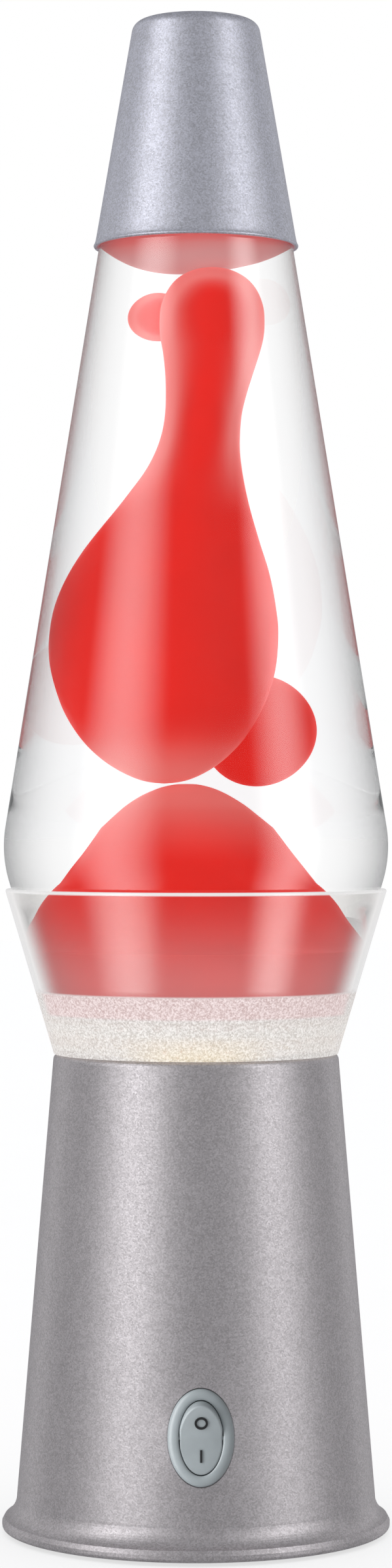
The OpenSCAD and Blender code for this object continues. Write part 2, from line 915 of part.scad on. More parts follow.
module low_ball_solid(out) {
    translate([9.8, 22.5, shoulder_z + 29.4])
        egg(low_ball_r, low_ball_r * 1.6, out);
}

// Liquid left round the wax lens.
lens_film = 1;
module top_wax_solid(out) {
    low = cap_z - 6.4;
    high = cap_z + 5;
    wall = globe_top_r(high) - glass_wall - fill_gap - lens_film;
    turned([[0, low - out], [8 + out, low + 1.2 - out], [14 + out, low + 4 - out], [17.4 + out, cap_z - out],
        [wall, cap_z + 3 - out], [wall, high + out], [0, high + out]]);
}

mound_floor = globe_z + glass_floor + fill_gap;
mound_peak = shoulder_z + 14.5;
function mound_wall(z) = globe_low_r(z) - glass_wall - 2 * fill_gap;
coil_at = 24;
coil_turn_r = 3;
coil_wire = 0.6;
coil_z = mound_floor + coil_turn_r + coil_wire + 0.2;
mound_knots = [[0.94, 7.2], [0.85, 11.7], [0.75, 16], [0.63, 20.1], [0.5, 24.5], [0.35, 29], [0.28, 31]];
module wax_mound_solid(out) {
    height = mound_peak - mound_floor;
    meet = mound_floor + height * 0.2;
    low = [mound_wall(mound_floor), mound_floor];
    turned(concat(
        [[0, mound_floor]],
        round_corner([0, mound_floor], low, [mound_wall(meet), meet], heel_r - glass_wall, 6),
        [[mound_wall(meet), meet]],
        [for (i = [len(mound_knots) - 1 : -1 : 0])
            [mound_knots[i][1] * globe_corner_r / 47.4 + out, mound_floor + height * mound_knots[i][0]]],
        [[0, mound_peak + out]]
    ));
}

module coil_groove() {
    translate([0, 0, coil_z])
        rotate_extrude()
            translate([coil_at, 0])
                circle(r = coil_turn_r + coil_wire + 0.5);
}

module liquid() {
    color("white", 0.2)
        difference() {
            intersection() {
                turned(concat(globe_outline(glass_wall + fill_gap, mound_floor), [[0, finish_z]]));
                cylinder(r = globe_corner_r, h = liquid_top);
            }
            blob_solid(fill_gap);
            high_ball_solid(fill_gap);
            low_ball_solid(fill_gap);
            top_wax_solid(fill_gap);
            wax_mound_solid(fill_gap);
            coil_groove();
        }
}

module main_blob() {
    color("crimson")
        blob_solid(0);
}

module high_ball() {
    color("crimson")
        high_ball_solid(0);
}

module low_ball() {
    color("crimson")
        low_ball_solid(0);
}

module top_wax() {
    color("crimson")
        top_wax_solid(0);
}

module wax_mound() {
    color("crimson")
        difference() {
            wax_mound_solid(0);
            coil_groove();
        }
}

coil_turns = 28;
coil_steps = 10;
coil_sides = 6;
module coil_ring() {
    count = coil_turns * coil_steps;
    function centre(i) =
        let (a = 360 * i / count, b = 360 * i / coil_steps, r = coil_at + coil_turn_r * cos(b))
        [r * cos(a), r * sin(a), coil_z + coil_turn_r * sin(b)];
    function ring(i) =
        let (
            t = unit(centre(i + 1) - centre(i - 1)),
            a = 360 * i / count,
            u = unit(cross(t, [-sin(a), cos(a), 0])),
            v = cross(t, u)
        )
        [for (k = [0 : coil_sides - 1])
            let (b = 360 * k / coil_sides)
            centre(i) + coil_wire * (u * cos(b) + v * sin(b))];
    points = [for (i = [0 : count - 1]) each ring(i)];
    faces = [for (i = [0 : count - 1], k = [0 : coil_sides - 1])
        let (m = (k + 1) % coil_sides, here = i * coil_sides, next = (i + 1) % count * coil_sides)
        each [[here + k, next + m, here + m], [here + k, next + k, next + m]]];
    color("dimgray")
        polyhedron(points, faces, convexity = 20);
}

crown_flutes = 21;
crown_t = 0.3;
crown_h = 6;
liner_t = 0.6;
crown_top = finish_z + finish_h + liner_t + crown_t;
module crown_closure() {
    flute = [for (i = [0 : crown_flutes * 6 - 1])
        let (a = 60 * i / crown_flutes, r = finish_r + 1.2 + 0.35 * cos(crown_flutes * a))
        [r * cos(a), r * sin(a)]];
    color("gold")
        translate([0, 0, crown_top - crown_h])
            difference() {
                linear_extrude(crown_h, scale = 0.95)
                    polygon(flute);
                translate([0, 0, -crown_t])
                    cylinder(r = finish_r + slip_gap, h = crown_h);
            }
}

module closure_liner() {
    color("lightgray")
        translate([0, 0, finish_z + finish_h])
            cylinder(r = finish_r - 0.4, h = liner_t);
}

// ================= cap =================
cap_edge = 3;
cap_roll = 0.35;
module cap_shell() {
    top_z = lamp_h - cap_dome;
    inner_top = top_z - cap_wall;
    color("lightsteelblue")
        turned(concat(
            [[cap_rim_r - cap_wall, cap_z + cap_roll]],
            arc([cap_rim_r - cap_roll, cap_z + cap_roll], cap_roll, -90, 0, 4),
            round_corner([cap_rim_r, cap_z], [cap_top_r, top_z], [0, lamp_h], cap_edge, 8),
            [[0, lamp_h], [0, lamp_h - cap_wall]],
            round_corner([0, lamp_h - cap_wall], [cap_top_r - cap_wall, inner_top],
                [cap_rim_r - cap_wall, cap_z], cap_edge - cap_wall, 8)
        ));
}

base_shell();
base_plate();
plate_screws();
rubber_feet();
collar();
deck_screws();
socket_bracket();
socket_screw();
socket_body();
socket_shell();
socket_contact();
reflector();
switch_frame();
switch_terminals();
spade_connectors();
cord_gland();
live_lead();
switched_lead();
neutral_lead();
rocker();
rocker_marks();
plunger();
plunger_spring();
contact_lever();
bulb_tip();
bulb_glass();
bulb_cap();
bulb_insulator();
filament_mount();
globe_glass();
liquid();
top_wax();
main_blob();
high_ball();
low_ball();
wax_mound();
coil_ring();
crown_closure();
closure_liner();
cap_shell();
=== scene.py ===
"""Looks of the lava lamp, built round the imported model.

Materials, camera and lights are in metres. Mesh outlines are in millimetres and add_mesh scales them."""

import json
import math

import bmesh
import bpy
from mathutils import Matrix, Vector

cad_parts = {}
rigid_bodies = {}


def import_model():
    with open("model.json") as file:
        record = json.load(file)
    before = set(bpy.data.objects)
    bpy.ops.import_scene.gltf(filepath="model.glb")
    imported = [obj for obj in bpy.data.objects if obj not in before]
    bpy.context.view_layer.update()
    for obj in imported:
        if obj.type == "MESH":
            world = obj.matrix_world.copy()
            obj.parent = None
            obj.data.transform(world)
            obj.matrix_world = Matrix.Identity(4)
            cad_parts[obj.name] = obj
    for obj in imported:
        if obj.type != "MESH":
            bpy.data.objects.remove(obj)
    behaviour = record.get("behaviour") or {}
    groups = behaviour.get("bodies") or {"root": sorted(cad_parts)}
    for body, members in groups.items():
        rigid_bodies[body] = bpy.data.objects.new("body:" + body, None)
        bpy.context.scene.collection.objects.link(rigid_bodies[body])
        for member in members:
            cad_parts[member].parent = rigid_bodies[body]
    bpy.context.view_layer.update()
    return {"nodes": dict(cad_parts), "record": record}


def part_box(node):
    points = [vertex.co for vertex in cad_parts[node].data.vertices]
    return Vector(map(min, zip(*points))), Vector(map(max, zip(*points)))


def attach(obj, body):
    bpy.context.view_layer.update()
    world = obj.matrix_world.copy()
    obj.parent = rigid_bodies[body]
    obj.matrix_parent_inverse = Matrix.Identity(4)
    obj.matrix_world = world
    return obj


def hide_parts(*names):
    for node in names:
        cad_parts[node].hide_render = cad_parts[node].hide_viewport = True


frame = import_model()
MM = 0.001

# ---------------------------------------------------------------- camera
CAMERA_DISTANCE = 0.928
CAMERA_HEIGHT = 0.1763
CAMERA_TURN = math.radians(1.6)
camera_data = bpy.data.cameras.new("camera")
camera_data.sensor_fit = "VERTICAL"
camera_data.sensor_height = 36
camera_data.lens = 87.44
camera_data.shift_y = 0.01355
camera_data.clip_start = 0.01
camera = bpy.data.objects.new("camera", camera_data)
camera.location = (
    -CAMERA_DISTANCE * math.sin(CAMERA_TURN),
    -CAMERA_DISTANCE * math.cos(CAMERA_TURN),
    CAMERA_HEIGHT,
)
camera.rotation_euler = (math.radians(90), 0, -CAMERA_TURN)
bpy.context.scene.collection.objects.link(camera)
bpy.context.scene.camera = camera

scene = bpy.context.scene
scene.view_settings.view_transform = "Standard"
scene.cycles.max_bounces = 32
scene.cycles.transmission_bounces = 32
scene.cycles.glossy_bounces = 8
scene.cycles.diffuse_bounces = 4
scene.cycles.transparent_max_bounces = 40
scene.cycles.caustics_reflective = False
scene.cycles.caustics_refractive = False
scene.cycles.sample_clamp_indirect = 8


# ---------------------------------------------------------------- node helpers
class Tree:
    """A node tree that is filled in with short calls."""

    def __init__(self, owner):
        owner.use_nodes = True
        self.tree = owner.node_tree
        self.tree.nodes.clear()

    def add(self, kind, inputs=None, **settings):
        node = self.tree.nodes.new(kind)
        for key, value in settings.items():
            setattr(node, key, value)
        for key, value in (inputs or {}).items():
            if isinstance(value, bpy.types.NodeSocket):
                self.tree.links.new(value, node.inputs[key])
            else:
                node.inputs[key].default_value = value
        return node

    def math(self, operation, a, b=0.0, clamp=False):
        return self.add("ShaderNodeMath", {0: a, 1: b}, operation=operation, use_clamp=clamp).outputs[0]

    def between(self, value, low, high, to_low=0.0, to_high=1.0, smooth=True):
        """value's place between low and high, as a number from to_low to to_high."""
        kind = "SMOOTHSTEP" if smooth else "LINEAR"
        inputs = {"Value": value, "From Min": low, "From Max": high, "To Min": to_low, "To Max": to_high}
        return self.add("ShaderNodeMapRange", inputs, interpolation_type=kind).outputs[0]

    def mix(self, share, a, b):
        """A colour between a and b."""
        node = self.tree.nodes.new("ShaderNodeMix")
        node.data_type = "RGBA"
        for socket, value in ((node.inputs[0], share), (node.inputs[6], a), (node.inputs[7], b)):
            if isinstance(value, bpy.types.NodeSocket):
                self.tree.links.new(value, socket)
            elif isinstance(value, (int, float)):
                socket.default_value = value
            else:
                socket.default_value = (*value[:3], 1)
        return node.outputs[2]

    def place(self):
        return self.add("ShaderNodeTexCoord").outputs["Object"]

    def noise(self, scale, detail=3.0, vector=None, rough=0.5):
        vector = vector or self.place()
        return self.add("ShaderNodeTexNoise", {"Vector": vector, "Scale": scale, "Detail": detail,
                                               "Roughness": rough}).outputs["Fac"]

    def bump(self, height, strength, distance):
        return self.add("ShaderNodeBump", {"Height": height, "Strength": strength,
                                           "Distance": distance}).outputs[0]

    def surface(self, shader):
        of_material = isinstance(self.tree.id_data, bpy.types.Material)
        name = "ShaderNodeOutputMaterial" if of_material else "ShaderNodeOutputWorld"
        self.add(name, {"Surface": shader})


def new_material(name):
    material = bpy.data.materials.new(name)
    return material, Tree(material)


def rgb(r, g, b):
    """A linear colour from three display values of 0 to 255."""
    def linear(v):
        v /= 255
        return v / 12.92 if v <= 0.04045 else ((v + 0.055) / 1.055) ** 2.4
    return (linear(r), linear(g), linear(b), 1)


def scaled(colour, k):
    return tuple(min(1, c * k) for c in colour[:3]) + (1,)


# ---------------------------------------------------------------- materials
def finish(name, colour, roughness, metallic=0.0, grain=900, spread=0.12, rough_spread=0.12,
           bump=0.15, depth=0.00004, stretch=(1, 1, 1), **sockets):
    """A finish with mottled colour, uneven gloss and a fine surface. The grain is in waves per metre."""
    material, t = new_material(name)
    place = t.add("ShaderNodeMapping", {"Vector": t.place(), "Scale": stretch}).outputs[0]
    coarse = t.noise(grain / 12, 4, place)
    fine = t.noise(grain, 5, place, 0.65)
    colour_out = t.mix(t.between(coarse, 0.3, 0.7), scaled(colour, 1 - spread), scaled(colour, 1 + spread))
    low, high = max(0.02, roughness - rough_spread), min(1, roughness + rough_spread)
    inputs = {"Base Color": colour_out, "Metallic": metallic,
              "Roughness": t.between(fine, 0.3, 0.7, low, high), "Normal": t.bump(fine, bump, depth)}
    inputs.update(sockets)
    t.surface(t.add("ShaderNodeBsdfPrincipled", inputs).outputs[0])
    return material


def flake_paint(name, colour, tint, roughness):
    """Silver paint: fine metal flakes at slightly different tilts, with a faint orange peel."""
    material, t = new_material(name)
    place = t.place()
    flakes = t.add("ShaderNodeTexVoronoi", {"Vector": place, "Scale": 3200})
    shade = t.add("ShaderNodeSeparateColor", {"Color": flakes.outputs["Color"]})
    mottle = t.noise(260, 5, place, 0.6)
    level = t.math("ADD", t.math("MULTIPLY", shade.outputs[0], 0.62), t.math("MULTIPLY", mottle, 0.38))
    colour_out = t.mix(level, scaled(colour, 0.8), scaled(tint, 1.22))
    tilt = t.bump(shade.outputs[1], 0.16, 0.0001)
    orange_peel = t.add("ShaderNodeBump", {"Height": t.noise(420, 2, place), "Strength": 0.05,
                                           "Distance": 0.0002, "Normal": tilt}).outputs[0]
    rough = t.between(shade.outputs[2], 0, 1, roughness - 0.05, roughness + 0.05, False)
    shader = t.add("ShaderNodeBsdfPrincipled", {
        "Base Color": colour_out, "Metallic": 1.0, "Roughness": rough, "Normal": orange_peel})
    t.surface(shader.outputs[0])
    return material


def clear(name, ior, roughness=0.0, edge=(1, 1, 1, 1), painted_shade_from=0.55, tint=(1, 1, 1, 1)):
    """Clear glass or liquid that lets lamps through, greyer where it is seen edge on as painted shade."""
    material, t = new_material(name)
    facing = t.add("ShaderNodeLayerWeight", {"Blend": 0.5}).outputs["Facing"]
    # Painted shade: the colour turns towards the edge colour where the glass is seen edge on.
    colour = t.mix(t.between(facing, painted_shade_from, 0.84), tint, edge)
    inputs = {"Base Color": colour, "Roughness": roughness, "IOR": ior, "Transmission Weight": 1.0}
    glass = t.add("ShaderNodeBsdfPrincipled", inputs).outputs[0]
    lamp = t.add("ShaderNodeLightPath").outputs["Is Shadow Ray"]
    through = t.add("ShaderNodeBsdfTransparent").outputs[0]
    t.surface(t.add("ShaderNodeMixShader", {0: lamp, 1: glass, 2: through}).outputs[0])
    return material


BLACK = (0, 0, 0)
WHITE = (1, 1, 1)
RED = rgb(226, 26, 14)
# The next two pinks are painted light and painted sheen on the wax, and the two strengths after them are the
# painted glow of the wax and of the collar.
PAINTED_LIGHT_PINK = rgb(226, 120, 114)
PAINTED_SHEEN_PINK = rgb(240, 128, 124)
WAX_PAINTED_GLOW = 0.7
COLLAR_PAINTED_GLOW = 0.72
BAND_H = 0.0152


def wax(name, painted_light_underside=None, painted_light_crest=None, painted_light_colour=PAINTED_LIGHT_PINK, share=0.75, painted_sheen_heights=None):
    """Red wax that scatters light, paler below and on its crest as painted light from the bulb, pinker at its
    edges as a painted sheen, with an emission that is a painted glow.
    """
    material, t = new_material(name)
    place = t.place()
    cloud = t.noise(38, 3, place)
    colour = t.mix(t.between(cloud, 0.3, 0.75), scaled(RED, 0.93), scaled(RED, 1.05))
    normal = t.add("ShaderNodeNewGeometry").outputs["Normal"]
    normal_z = t.add("ShaderNodeSeparateXYZ", {"Vector": normal}).outputs[2]
    z = t.add("ShaderNodeSeparateXYZ", {"Vector": place}).outputs[2]
    # Painted light: faces turned down or up, within the given heights, are mixed towards a pale pink as if lit
    # through the wax from below.
    for limits, facing in ((painted_light_underside, t.math("MULTIPLY", normal_z, -1.0)), (painted_light_crest, normal_z)):
        if limits:
            low, high = limits
            amount = t.math("MULTIPLY", t.between(facing, 0.3, 0.85), t.between(z, low, high))
            colour = t.mix(t.math("MULTIPLY", amount, share), colour, painted_light_colour)
    # Painted sheen: the wax turns pinker where it is seen edge on, within the given heights.
    if painted_sheen_heights:
        facing = t.add("ShaderNodeLayerWeight", {"Blend": 0.5}).outputs["Facing"]
        amount = t.math("MULTIPLY", t.between(facing, 0.04, 0.42), t.between(z, *painted_sheen_heights))
        colour = t.mix(t.math("MULTIPLY", amount, 0.85), colour, PAINTED_SHEEN_PINK)
    soft = t.bump(t.noise(60, 2, place), 0.06, 0.001)
    # The emission is a painted glow: the wax shines in its own colour in place of light passing through it.
    shader = t.add("ShaderNodeBsdfPrincipled", {
        "Base Color": t.mix(0.62, colour, BLACK),
        "Roughness": t.between(t.noise(140, 2, place), 0.3, 0.7, 0.42, 0.58),
        "Specular IOR Level": 0.04, "Subsurface Weight": 0.35, "Subsurface Radius": (0.9, 0.12, 0.1),
        "Subsurface Scale": 0.006, "Emission Color": colour, "Emission Strength": WAX_PAINTED_GLOW,
        "Normal": soft})
    t.surface(shader.outputs[0])
    return material


def frosted_collar():
    """Translucent plastic: hazy above, with a sanded grainy band below, paler edge on. Painted light: the body
    glows, a bright line runs under the lip, the wax tints the band's top pink and bulb light warms its bottom.
    """
    material, t = new_material("frosted_collar")
    place = t.place()
    z = t.add("ShaderNodeSeparateXYZ", {"Vector": place}).outputs[2]
    low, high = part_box("collar")
    band_top = low.z + BAND_H
    band = t.between(z, band_top + 0.0004, band_top - 0.0004)
    haze = t.between(z, high.z, band_top, 0.006, 0.09)
    # Painted highlight: a bright line just under the collar's top edge.
    painted_lip_highlight = t.between(z, high.z - 0.0010, high.z - 0.0005, 0.0, 0.8)
    facing = t.add("ShaderNodeLayerWeight", {"Blend": 0.5}).outputs["Facing"]
    edge = t.between(facing, 0.5, 0.96, 0.0, 0.8)
    speck = t.noise(1750, 4, place, 0.9)
    grain = t.between(speck, 0.42, 0.58, 0.0, 1.0, False)
    above = t.math("MAXIMUM", t.math("ADD", haze, edge, True), painted_lip_highlight)
    below = t.between(grain, 0.0, 1.0, 0.84, 0.94, False)
    cover = t.add("ShaderNodeMix", {0: band, 2: above, 3: below}, data_type="FLOAT").outputs[0]
    # Painted light: red light from the wax tints the top of the frosted band pink, less near its edges.
    painted_wax_light = t.math("MULTIPLY", t.between(z, band_top - 0.0058, band_top - 0.0048),
                   t.between(facing, 0.8, 0.66))
    flat = t.add("ShaderNodeMapping", {"Vector": place, "Scale": (3, 3, 420)}).outputs[0]
    streak = t.noise(1.0, 2, flat)
    frost_and_painted_light = t.mix(t.between(streak, 0.42, 0.6, 0.0, 0.35), rgb(230, 226, 222), rgb(214, 198, 192))
    frost_and_painted_light = t.mix(t.math("MULTIPLY", painted_wax_light, 0.8), frost_and_painted_light, rgb(240, 190, 190))
    # Painted light: warm bulb light shows through the bottom of the band where it faces the view.
    painted_bulb_glow = t.math("MULTIPLY", t.between(facing, 0.24, 0.0), t.between(z, low.z + 0.0075, low.z))
    frost_and_painted_light = t.mix(painted_bulb_glow, frost_and_painted_light, rgb(255, 232, 180))
    speckled = t.mix(grain, t.mix(0.48, frost_and_painted_light, rgb(138, 132, 130)), t.mix(0.6, frost_and_painted_light, WHITE))
    white = t.mix(band, rgb(236, 235, 235), speckled)
    rough = t.add("ShaderNodeMix", {0: band, 2: 0.12, 3: 0.55}, data_type="FLOAT").outputs[0]
    relief = t.bump(t.math("MULTIPLY", grain, band), 0.25, 0.00006)
    # The frosted body's emission is a painted glow, standing in for the light that the plastic scatters.
    matt = t.add("ShaderNodeBsdfPrincipled", {
        "Base Color": t.mix(0.72, white, BLACK), "Roughness": rough, "IOR": 1.49, "Normal": relief,
        "Emission Color": white, "Emission Strength": COLLAR_PAINTED_GLOW}).outputs[0]
    glow = t.add("ShaderNodeBsdfTranslucent", {"Color": (0.3, 0.29, 0.28, 1)}).outputs[0]
    body = t.add("ShaderNodeMixShader", {0: 0.15, 1: matt, 2: glow}).outputs[0]
    through = t.add("ShaderNodeBsdfTransparent", {"Color": rgb(250, 249, 248)}).outputs[0]
    gloss = t.add("ShaderNodeBsdfGlossy", {"Color": (1, 1, 1, 1), "Roughness": 0.16}).outputs[0]
    front = t.math("SUBTRACT", 1.0, t.add("ShaderNodeNewGeometry").outputs["Backfacing"])
    shine = t.math("MULTIPLY", t.add("ShaderNodeFresnel", {"IOR": 1.35}).outputs[0],
                   t.math("MULTIPLY", front, t.math("SUBTRACT", 1.0, band)))
    pane = t.add("ShaderNodeMixShader", {0: shine, 1: through, 2: gloss}).outputs[0]
    t.surface(t.add("ShaderNodeMixShader", {0: cover, 1: pane, 2: body}).outputs[0])
    return material


def glowing(name, colour, strength, grain=2000):
    """Hot filament wire of uneven brightness."""
    material, t = new_material(name)
    level = t.between(t.noise(grain, 3), 0.3, 0.7, 0.8, 1.1)
    shade = t.mix(level, scaled(colour, 0.7), colour)
    t.surface(t.add("ShaderNodeBsdfPrincipled", {
        "Base Color": rgb(120, 110, 100), "Metallic": 1.0,
        "Roughness": t.between(t.noise(3000), 0.3, 0.7, 0.3, 0.5),
        "Emission Color": shade, "Emission Strength": strength}).outputs[0])
    return material


PAINTED_EDGE_GREY = (0.3, 0.3, 0.302, 1)
M = {
    "base_paint": flake_paint("base_paint", rgb(194, 189, 191), rgb(206, 201, 204), 0.47),
    "cap_paint": flake_paint("cap_paint", rgb(206, 206, 214), rgb(216, 217, 229), 0.52),
    "grey_steel": finish("grey_steel", rgb(120, 121, 124), 0.42, 1.0, 1400, 0.1, 0.1, 0.1, stretch=(1, 8, 1)),
    "zinc_steel": finish("zinc_steel", rgb(178, 180, 184), 0.32, 1.0, 1800, 0.12, 0.1, 0.12),
    "tinned_steel": finish("tinned_steel", rgb(190, 191, 194), 0.28, 1.0, 2200, 0.1, 0.1, 0.1,
                           stretch=(1, 1, 6)),
    "coil_steel": finish("coil_steel", rgb(150, 148, 146), 0.3, 1.0, 2600, 0.12, 0.1, 0.1),
    "solder": finish("solder", rgb(176, 176, 180), 0.35, 1.0, 1500, 0.15, 0.15, 0.3),
    "brass": finish("brass", rgb(196, 160, 92), 0.28, 1.0, 1500, 0.12, 0.1, 0.1),
    "reflector_aluminium": finish("reflector_aluminium", rgb(214, 215, 218), 0.22, 1.0, 700, 0.06, 0.08, 0.06,
                                  stretch=(1, 1, 14)),
    "black_rubber": finish("black_rubber", rgb(34, 34, 36), 0.62, 0.0, 2400, 0.25, 0.12, 0.35),
    "socket_ceramic": finish("socket_ceramic", rgb(232, 228, 218), 0.3, 0.0, 900, 0.04, 0.12, 0.12),
    "black_glass": finish("black_glass", rgb(18, 16, 18), 0.12, 0.0, 900, 0.3, 0.06, 0.05),
    "switch_plastic": finish("switch_plastic", rgb(142, 149, 152), 0.36, 0.0, 3000, 0.04, 0.06, 0.22,
                             0.00003),
    "black_ink": finish("black_ink", rgb(22, 22, 24), 0.45, 0.0, 4000, 0.3, 0.1, 0.2, 0.00001),
    "white_plastic": finish("white_plastic", rgb(236, 236, 232), 0.36, 0.0, 1500, 0.03, 0.08, 0.12),
    "brown_insulation": finish("brown_insulation", rgb(96, 56, 34), 0.44, 0.0, 1700, 0.15, 0.1, 0.15),
    "blue_insulation": finish("blue_insulation", rgb(38, 92, 160), 0.44, 0.0, 1700, 0.12, 0.1, 0.15),
    "frosted_collar": frosted_collar(),
    "globe_glass": clear("globe_glass", 1.5, 0.0, PAINTED_EDGE_GREY, 0.2),
    "globe_inner": clear("globe_inner", 1.1278, 0.0),
    "bulb_glass": clear("bulb_glass", 1.48, 0.04, rgb(220, 214, 200), 0.5, rgb(252, 248, 238)),
    "clear_liquid": clear("clear_liquid", 1.001, 0.0),
    "liquid_top": clear("liquid_top", 1.33, 0.0),
    "red_wax": wax("red_wax"),
    "filament": glowing("filament", rgb(255, 196, 120), 20),
}
blob_low, blob_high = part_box("main_blob")
mound_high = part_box("wax_mound")[1]
# Painted light on the wax pieces: the blob paler underneath and pinker at its edges high up, the mound paler on
# its crest, the high drop pinker at its edges, and the lens a greyish pale pink underneath as a painted
# reflection.
M["blob_wax"] = wax("blob_wax", painted_light_underside=(blob_low.z + 0.022, blob_low.z + 0.004),
                     painted_sheen_heights=(blob_low.z + 0.062, blob_low.z + 0.084))
M["mound_wax"] = wax("mound_wax", painted_light_crest=(mound_high.z - 0.016, mound_high.z - 0.003))
M["drop_wax"] = wax("drop_wax", painted_sheen_heights=(blob_high.z - 0.03, blob_high.z - 0.02))
M["lens_wax"] = wax("lens_wax", painted_light_underside=(mound_high.z, blob_high.z), painted_light_colour=rgb(206, 148, 147),
                    share=0.92)

# ---------------------------------------------------------------- CAD nodes keep their shape and get a finish
record = frame["record"]
slot_of = {}
for part in record.get("subparts", []):
    name = part.get("node") or part.get("name")
    slot_of[name] = part.get("material") or part.get("slot")
for name, obj in frame["nodes"].items():
    slot_name = obj.data.materials[0].name.split(".")[0] if obj.data.materials else slot_of.get(name)
    for holder in obj.material_slots:
        holder.material = M[slot_name]


# ---------------------------------------------------------------- mesh helpers
def add_mesh(name, points, faces, materials, body, replaced=(), crease=32):
    mesh = bpy.data.meshes.new(name)
    mesh.from_pydata([Vector(p) * MM for p in points], [], faces)
    mesh.validate()
    shell = bmesh.new()
    shell.from_mesh(mesh)
    bmesh.ops.recalc_face_normals(shell, faces=shell.faces)
    shell.to_mesh(mesh)
    shell.free()
    for material in materials:
        mesh.materials.append(material)
    for polygon in mesh.polygons:
        polygon.use_smooth = True
    mesh.set_sharp_from_angle(angle=math.radians(crease))
    obj = bpy.data.objects.new(name, mesh)
    scene.collection.objects.link(obj)
    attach(obj, body)
    if replaced:
        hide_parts(*replaced)
    return obj


def rings_to_mesh(rings, closed=False):
    """Points and faces of a skin over rings of equal count. A ring of one point closes an end."""
    points, faces, starts = [], [], []
    for ring in rings:
        starts.append((len(points), len(ring)))
        points.extend(ring)
    pairs = list(zip(starts, starts[1:]))
    if closed:
        pairs.append((starts[-1], starts[0]))
    for (a, na), (b, nb) in pairs:
        for i in range(max(na, nb)):
            j = (i + 1) % max(na, nb)
            if na == 1:
                faces.append((a, b + j, b + i))
            elif nb == 1:
                faces.append((a + i, a + j, b))
            else:
                faces.append((a + i, a + j, b + j, b + i))
    return points, faces


def oval_ring(a, b, z, steps, centre=(0, 0)):
    if a < 1e-6:
        return [(centre[0], centre[1], z)]
    return [(centre[0] + a * math.cos(2 * math.pi * i / steps),
             centre[1] + b * math.sin(2 * math.pi * i / steps), z) for i in range(steps)]


def lathe(outline, steps=192):
    """Points and faces of an outline of (radius, height) turned about the Z axis."""
    closed = outline[0][0] > 1e-6 or outline[-1][0] > 1e-6
    return rings_to_mesh([oval_ring(r, r, z, steps) for r, z in outline], closed)


def smooth_curve(knots, count):
    """A smooth curve through knots of equal length, sampled count times."""
    out = []
    last = len(knots) - 1
    for k in range(count):
        t = last * k / (count - 1)
        i = min(int(t), last - 1)
        u = t - i
        p = [knots[max(i - 1, 0)], knots[i], knots[i + 1], knots[min(i + 2, last)]]
        out.append([0.5 * (2 * p[1][d] + (p[2][d] - p[0][d]) * u
                           + (2 * p[0][d] - 5 * p[1][d] + 4 * p[2][d] - p[3][d]) * u * u
                           + (3 * p[1][d] - p[0][d] - 3 * p[2][d] + p[3][d]) * u ** 3)
                    for d in range(len(knots[0]))])
    return out


def arc(centre, r, start, end, steps):
    return [(centre[0] + r * math.cos(math.radians(start + (end - start) * i / steps)),
             centre[1] + r * math.sin(math.radians(start + (end - start) * i / steps))) for i in range(steps + 1)]


def rounded(before, corner, after, r, steps):
    """The arc of radius r that rounds the corner between two straight sides."""
    c = Vector(corner)
    u = (Vector(before) - c).normalized()
    v = (Vector(after) - c).normalized()
    half = math.acos(max(-1, min(1, u.dot(v)))) / 2
    centre = c + (u + v).normalized() * r / math.sin(half)
    first = c + u * r / math.tan(half) - centre
    last = c + v * r / math.tan(half) - centre
    start = math.degrees(math.atan2(first.y, first.x))
    end = math.degrees(math.atan2(last.y, last.x))
    return arc(centre, r, start, start + (end - start + 540) % 360 - 180, steps)


# ---------------------------------------------------------------- sizes (mm), the heights taken from the imported model
def corner_mm(node, which):
    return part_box(node)[which] / MM


BASE_H = corner_mm("base_shell", 1).z
COLLAR_H = corner_mm("collar", 1).z - BASE_H
LAMP_H = corner_mm("cap_shell", 1).z
CAP_Z = corner_mm("cap_shell", 0).z
GLOBE_Z = corner_mm("globe_glass", 0).z
BASE_TOP_R = 34.6
COLLAR_RIM_R = 46.5
COLLAR_WALL = 1.3
SEAT_GAP = 0.3
GLOBE_CORNER_R = 47.4
NECK_R = 23.6
GLASS_WALL = 2.0
CAP_WALL = 0.8
CAP_TOP_R = 15.2
FINISH_R = 13.3
SHOULDER = 30
SLOPE = (COLLAR_RIM_R - BASE_TOP_R) / COLLAR_H
SHOULDER_Z = BASE_H + (GLOBE_CORNER_R + COLLAR_WALL + SEAT_GAP - BASE_TOP_R) / SLOPE
CAP_RIM_R = NECK_R + SEAT_GAP + CAP_WALL
CAP_SLOPE = (CAP_RIM_R - CAP_TOP_R) / (LAMP_H - 1 - CAP_Z)
THROAT_Z = CAP_Z + 18
FINISH_Z = THROAT_Z + 12
FINISH_H = 7
LIQUID_TOP = THROAT_Z - 5
WAX_GAP = 0.4
LATHE_STEPS = 256
LIQUID_STEPS = 128


def globe_low_r(z):
    return BASE_TOP_R + SLOPE * (z - BASE_H) - COLLAR_WALL - SEAT_GAP


def globe_top_r(z):
    return NECK_R - CAP_SLOPE * (z - CAP_Z)


